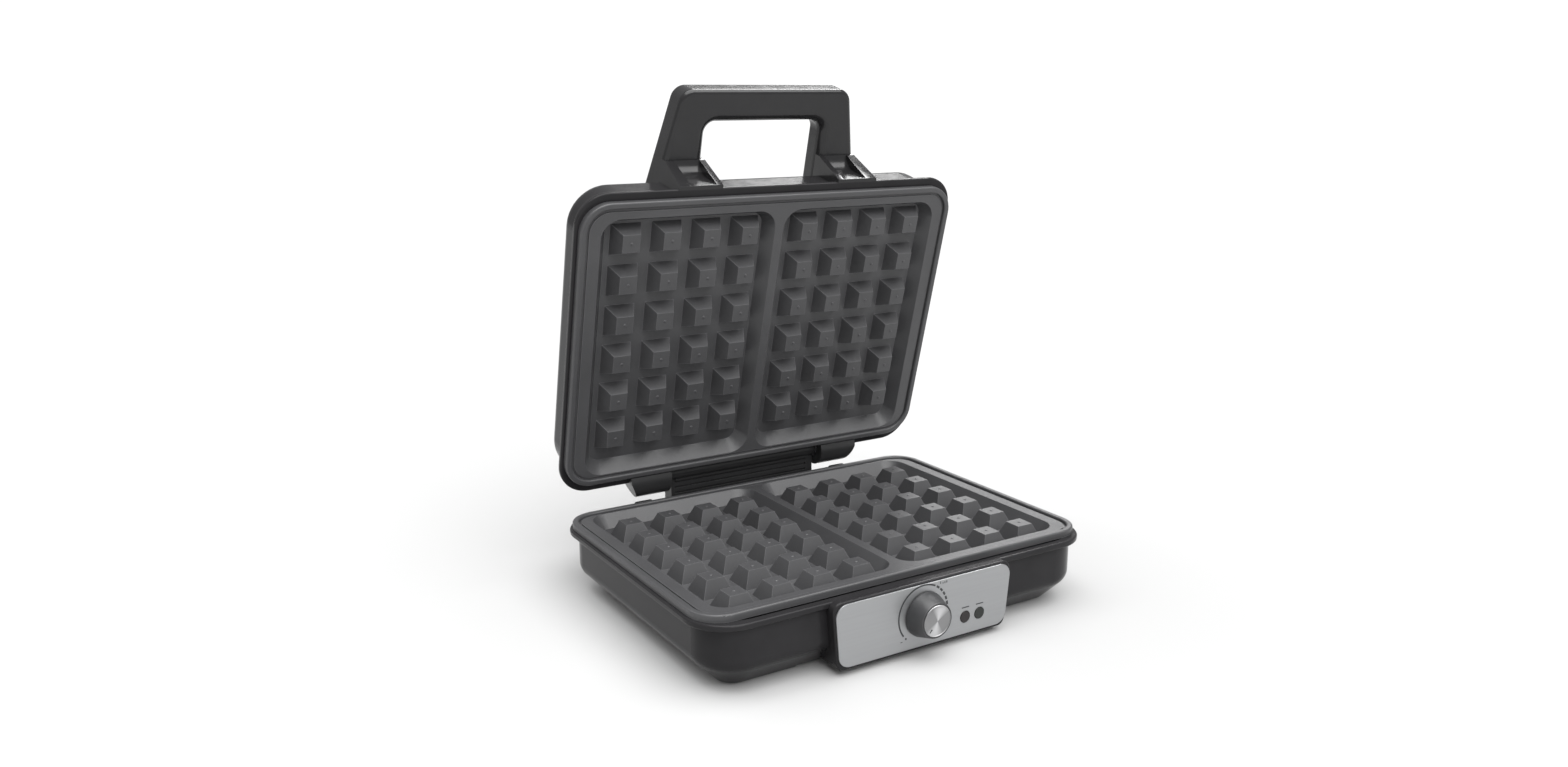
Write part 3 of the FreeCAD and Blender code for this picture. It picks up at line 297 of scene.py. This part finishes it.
def softened(node, width, wide=None, wide_by=0.0, leave=None):
    """A copy of a CAD node with rounded edges, rounded more where the test called wide picks them.

    Coplanar faces are joined first, except across the edges that the test called leave picks."""
    work = bmesh.new()
    work.from_mesh(NODES[node].data)
    bmesh.ops.remove_doubles(work, verts=work.verts, dist=2e-6)
    joined = [edge for edge in work.edges if not (leave and leave(edge))]
    bmesh.ops.dissolve_limit(work, angle_limit=FLAT, verts=work.verts, edges=joined)
    if wide:
        chosen = [edge for edge in work.edges if edge.calc_face_angle(0.0) > PLATE_EDGE and wide(edge)]
        bmesh.ops.bevel(work, geom=chosen, offset=wide_by, segments=4, profile=0.5, affect="EDGES",
                        clamp_overlap=True)
    weigh_ridges(work)
    item = add_piece(node + "_soft", work, LOOKS[node], BODIES[node])
    round_ridges(item, width)
    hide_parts(node)


def turned(name, node, profile, at):
    """A round piece in place of a CAD node: (radius, y) in millimetres about the piece's own Y axis."""
    work = bmesh.new()
    points = [work.verts.new((radius * MM, y * MM, 0)) for radius, y in profile]
    for first, second in zip(points, points[1:]):
        work.edges.new((first, second))
    bmesh.ops.spin(work, geom=work.verts[:] + work.edges[:], cent=(0, 0, 0), axis=(0, 1, 0),
                   angle=math.tau, steps=96)
    bmesh.ops.remove_doubles(work, verts=work.verts, dist=1e-7)
    item = add_piece(name, work, LOOKS[node], BODIES[node], at)
    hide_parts(node)


def skin(work, loops):
    """Joins rings of equally many vertices, and closes both ends."""
    count = len(loops[0])
    for low, high in zip(loops, loops[1:]):
        for n in range(count):
            work.faces.new((low[n], low[(n + 1) % count], high[(n + 1) % count], high[n]))
    work.faces.new(loops[0])
    work.faces.new(loops[-1])


# ---------------------------------------------------------------- plates and mouldings

# Sizes in millimetres, with the lid closed; X and Y run from the middle of the tooth grid.
GRID_AT = Vector((0, -9.6, 0))
PITCH_X, PITCH_Y = 26.0, 25.25
COLUMNS, ROWS = 4, 6  # the columns are those of one cell
FIRST_COLUMN = 21.2
TOOTH_TOP = 46.0
PLATE_GAP = 2.5
RIM_HEIGHT = 44.3
CELL_FLOOR = 36.5
CELLS_X = 118.2  # half the width that holds both cells
CELLS_Y = (-78.2, 89.0)
LID_FLAT = 2 * TOOTH_TOP + PLATE_GAP  # a height in the base plus that of the same place in the lid
PIP_RINGS = ((0.95, -0.3), (0.95, 0.12), (0.7, 0.34), (0.3, 0.42))  # (radius, height) up one dot
PIP_SIDES = 12

HINGE_AT = Vector((0, 101.4, 58.65))
LID_ANGLE = math.radians(75.7)
STILL = Matrix.Translation(GRID_AT)
OPENED = (STILL @ Matrix.Translation(HINGE_AT) @ Matrix.Rotation(-LID_ANGLE, 4, "X")
          @ Matrix.Translation(-HINGE_AT))


def in_plate(point, lid):
    """A point of the frame in the sizes above, the lid's points mirrored down onto the base's."""
    place = (OPENED if lid else STILL).inverted() @ (point / MM)
    return Vector((place.x, place.y, LID_FLAT - place.z)) if lid else place


def cell_rim(lid):
    """Picks the upper edges of the two cells."""
    def test(edge):
        ends = [in_plate(vert.co, lid) for vert in edge.verts]
        level = all(abs(end.z - RIM_HEIGHT) < 0.1 for end in ends)
        return level and all(abs(end.x) < CELLS_X and CELLS_Y[0] < end.y < CELLS_Y[1] for end in ends)
    return test


def cell_floor(lid):
    """Picks the edges that lie in the cells' floors."""
    def test(edge):
        return all(abs(in_plate(vert.co, lid).z - CELL_FLOOR) < 0.05 for vert in edge.verts)
    return test


for plate, on_lid in (("lower_plate", False), ("upper_plate", True)):
    softened(plate, 0.0007, wide=cell_rim(on_lid), wide_by=0.0016, leave=cell_floor(on_lid))

ROUNDINGS = {
    "control_bezel": 0.7, "hinge_tower": 0.5, "left_hinge_lug": 0.8, "right_hinge_lug": 0.8,
    "handle": 0.6, "rubber_feet": 0.6, "cord_gland": 0.5, "screw_plugs": 0.3,
    "control_faceplate": 0.22, "power_light_lens": 0.28, "ready_light_lens": 0.28,
}
for node, radius in ROUNDINGS.items():
    softened(node, radius * MM)


def pip(work, place, up):
    """One small raised dot, its foot sunk into the tooth."""
    loops = []
    for radius, height in PIP_RINGS:
        ring = []
        for n in range(PIP_SIDES):
            turn = math.tau * n / PIP_SIDES
            spot = place @ Vector((radius * math.cos(turn), radius * math.sin(turn), up * height))
            ring.append(work.verts.new(MM * spot))
        loops.append(ring)
    skin(work, loops)


def pips(name, lid, body):
    """A dot in the middle of every tooth of a plate."""
    work = bmesh.new()
    plate_at = OPENED if lid else STILL
    z = LID_FLAT - TOOTH_TOP if lid else TOOTH_TOP
    for side in (-1, 1):
        for column in range(COLUMNS):
            for row in range(ROWS):
                x = side * (FIRST_COLUMN + PITCH_X * column)
                y = PITCH_Y * (row - (ROWS - 1) / 2)
                pip(work, plate_at @ Matrix.Translation(Vector((x, y, z))), -1 if lid else 1)
    add_piece(name, work, PLATE, body)


pips("lower_plate_pips", False, "base")
pips("upper_plate_pips", True, "lid")

# ---------------------------------------------------------------- dial

# Sizes in millimetres; the knob's own start from the middle of its foot.
KNOB_AT = (-1.5 * MM, -110.1 * MM, 24.0 * MM)
CAP_FACE = -10.94
POINTER_AT = math.radians(222)
turned("thermostat_knob_turned", "thermostat_knob", [
    (0, -8), (3.02, -8), (3.02, -2.6), (10.8, -2.6), (10.8, 0), (12.5, 0), (12.9, -0.15), (13.0, -0.5),
    (12.75, -1.4), (11.6, -5.4), (10.2, -10.0), (10.0, -10.4), (9.75, -10.6), (9.3, -10.6), (9.3, -9.8),
    (0, -9.8)], KNOB_AT)
turned("knob_cap_turned", "knob_cap", [
    (0, -9.8), (9.0, -9.8), (9.0, -10.75), (8.85, -10.95), (8.65, -11.0), (8.35, -11.0), (8.25, -10.88),
    (8.15, CAP_FACE), (4.0, CAP_FACE), (0, CAP_FACE)], KNOB_AT)


def pointer():
    """The short inked mark that shows where the dial is set; it tapers outwards."""
    work = bmesh.new()
    corners = [(-0.45, 5.4), (0.45, 5.4), (0.25, 7.7), (-0.25, 7.7)]
    loops = []
    for y in (CAP_FACE - 0.05, CAP_FACE + 0.09):
        ring = []
        for across, out in corners:
            x = across * math.cos(POINTER_AT) + out * math.sin(POINTER_AT)
            z = out * math.cos(POINTER_AT) - across * math.sin(POINTER_AT)
            ring.append(work.verts.new((MM * x, MM * y, MM * z)))
        loops.append(ring)
    skin(work, loops)
    add_piece("knob_pointer", work, INK, "knob", KNOB_AT)


pointer()

FACE_Y = -109.6 * MM
PRINT_CENTRE = (-2.3, 24.2)
PRINT_RADIUS = 16.6
PRINT_PROUD, PRINT_SUNK = 0.06, 0.02


def strip(work, points, wide):
    """A thin printed line through points of (x, z) in millimetres."""
    loops = []
    for n, (x, z) in enumerate(points):
        x0, z0 = points[max(n - 1, 0)]
        x1, z1 = points[min(n + 1, len(points) - 1)]
        length = math.hypot(x1 - x0, z1 - z0)
        across_x = -(z1 - z0) / length * wide / 2
        across_z = (x1 - x0) / length * wide / 2
        ring = []
        for side, y in ((-1, PRINT_SUNK), (-1, -PRINT_PROUD), (1, -PRINT_PROUD), (1, PRINT_SUNK)):
            spot = ((x + side * across_x) * MM, FACE_Y + y * MM, (z + side * across_z) * MM)
            ring.append(work.verts.new(spot))
        loops.append(ring)
    skin(work, loops)


def arc(start, end, steps):
    """Points round the dial, from one clock angle in degrees to another."""
    angles = [math.radians(start + (end - start) * n / steps) for n in range(steps + 1)]
    x, z = PRINT_CENTRE
    return [(x + PRINT_RADIUS * math.sin(angle), z + PRINT_RADIUS * math.cos(angle)) for angle in angles]


def level_line(x, z, length):
    return [(x, z), (x + length, z)]


def upright_line(x, z, height):
    return [(x, z), (x, z + height)]


def dial_print():
    """The browning scale round the dial, plain marks at its ends and a bar over each light."""
    work = bmesh.new()
    strip(work, arc(-128, 28, 60), 0.95)
    for start in range(32, 92, 11):
        strip(work, arc(start, start + 7.5, 6), 1.25)
    strip(work, arc(-138, -134, 3), 1.0)
    strip(work, upright_line(9.0, 39.1, 1.4), 0.4)
    for n, height in enumerate((0.7, 1.0, 1.3)):
        strip(work, upright_line(10.8 + 1.3 * n, 38.9, height), 0.55)
    strip(work, level_line(-17.4, 10.9, 1.3), 0.4)
    for light_x in (27.4, 37.6):
        strip(work, level_line(light_x - 2.6, 21.2, 5.2), 0.6)
    add_piece("dial_print", work, INK, "base")


dial_print()

# ---------------------------------------------------------------- camera, backdrop and light


def facing(direction):
    """The turn that points an object's own Z axis along a direction."""
    return Vector(direction).to_track_quat("Z", "Y").to_euler()


CAMERA_AT = (-0.3949, -0.5972, 0.3003)
CAMERA_BACK = (-0.5142, -0.8259, 0.2312)  # from what it looks at, towards the camera
FOCAL_LENGTH = 28.29


def add_camera():
    camera = bpy.data.objects.new("camera", bpy.data.cameras.new("camera"))
    bpy.context.collection.objects.link(camera)
    camera.location = CAMERA_AT
    camera.rotation_euler = facing(CAMERA_BACK)
    camera.data.sensor_width = 36
    camera.data.lens = FOCAL_LENGTH
    camera.data.clip_start = 0.01
    bpy.context.scene.camera = camera


def add_backdrop(name, work, shader):
    mesh = bpy.data.meshes.new(name)
    work.to_mesh(mesh)
    work.free()
    mesh.materials.append(shader.material)
    item = bpy.data.objects.new(name, mesh)
    bpy.context.collection.objects.link(item)
    return item


def add_floor():
    work = bmesh.new()
    bmesh.ops.create_grid(work, x_segments=1, y_segments=1, size=9)
    pale = Shader("studio_floor")
    pale.set(Base_Color=(0.41, 0.41, 0.41), Roughness=0.9, Specular_IOR_Level=0.1)
    add_backdrop("floor", work, pale)


def add_sweep():
    """A white sweep behind everything, which lights nothing and shows in no reflection."""
    work = bmesh.new()
    bmesh.ops.create_uvsphere(work, u_segments=32, v_segments=16, radius=5.5)
    white = Shader("white_backdrop")
    white.set(Base_Color=(0, 0, 0), Emission_Color=(1, 1, 1), Emission_Strength=1.05)
    sweep = add_backdrop("white_sweep", work, white)
    for ray in ("diffuse", "glossy", "transmission", "volume_scatter", "shadow"):
        setattr(sweep, "visible_" + ray, False)


def add_world(strength):
    world = bpy.data.worlds.new("studio")
    bpy.context.scene.world = world
    world.use_nodes = True
    background = world.node_tree.nodes["Background"]
    background.inputs["Color"].default_value = (1, 1, 1, 1)
    background.inputs["Strength"].default_value = strength


def soft_sun(name, source, angle, strength, matt=True, shine=True):
    """A far-off softbox, so wide in degrees; matt and shine say what it lights."""
    lamp = bpy.data.lights.new(name, "SUN")
    lamp.angle = math.radians(angle)
    lamp.energy = strength
    item = bpy.data.objects.new(name, lamp)
    bpy.context.collection.objects.link(item)
    item.rotation_euler = facing(source)
    item.visible_diffuse = matt
    item.visible_glossy = shine


add_camera()
add_floor()
add_world(0.5)
add_sweep()
soft_sun("front_top_box", (0.06, -0.3, 0.95), 70, 4.9)
soft_sun("front_fill", (-0.12, -0.9, 0.42), 56, 1.5, shine=False)
soft_sun("rear_left_fill", (-0.42, 0.5, 0.76), 50, 1.5, shine=False)
soft_sun("rear_right_box", (0.54, 0.59, 0.60), 17, 0.9, matt=False)
bpy.context.scene.view_settings.view_transform = "Standard"
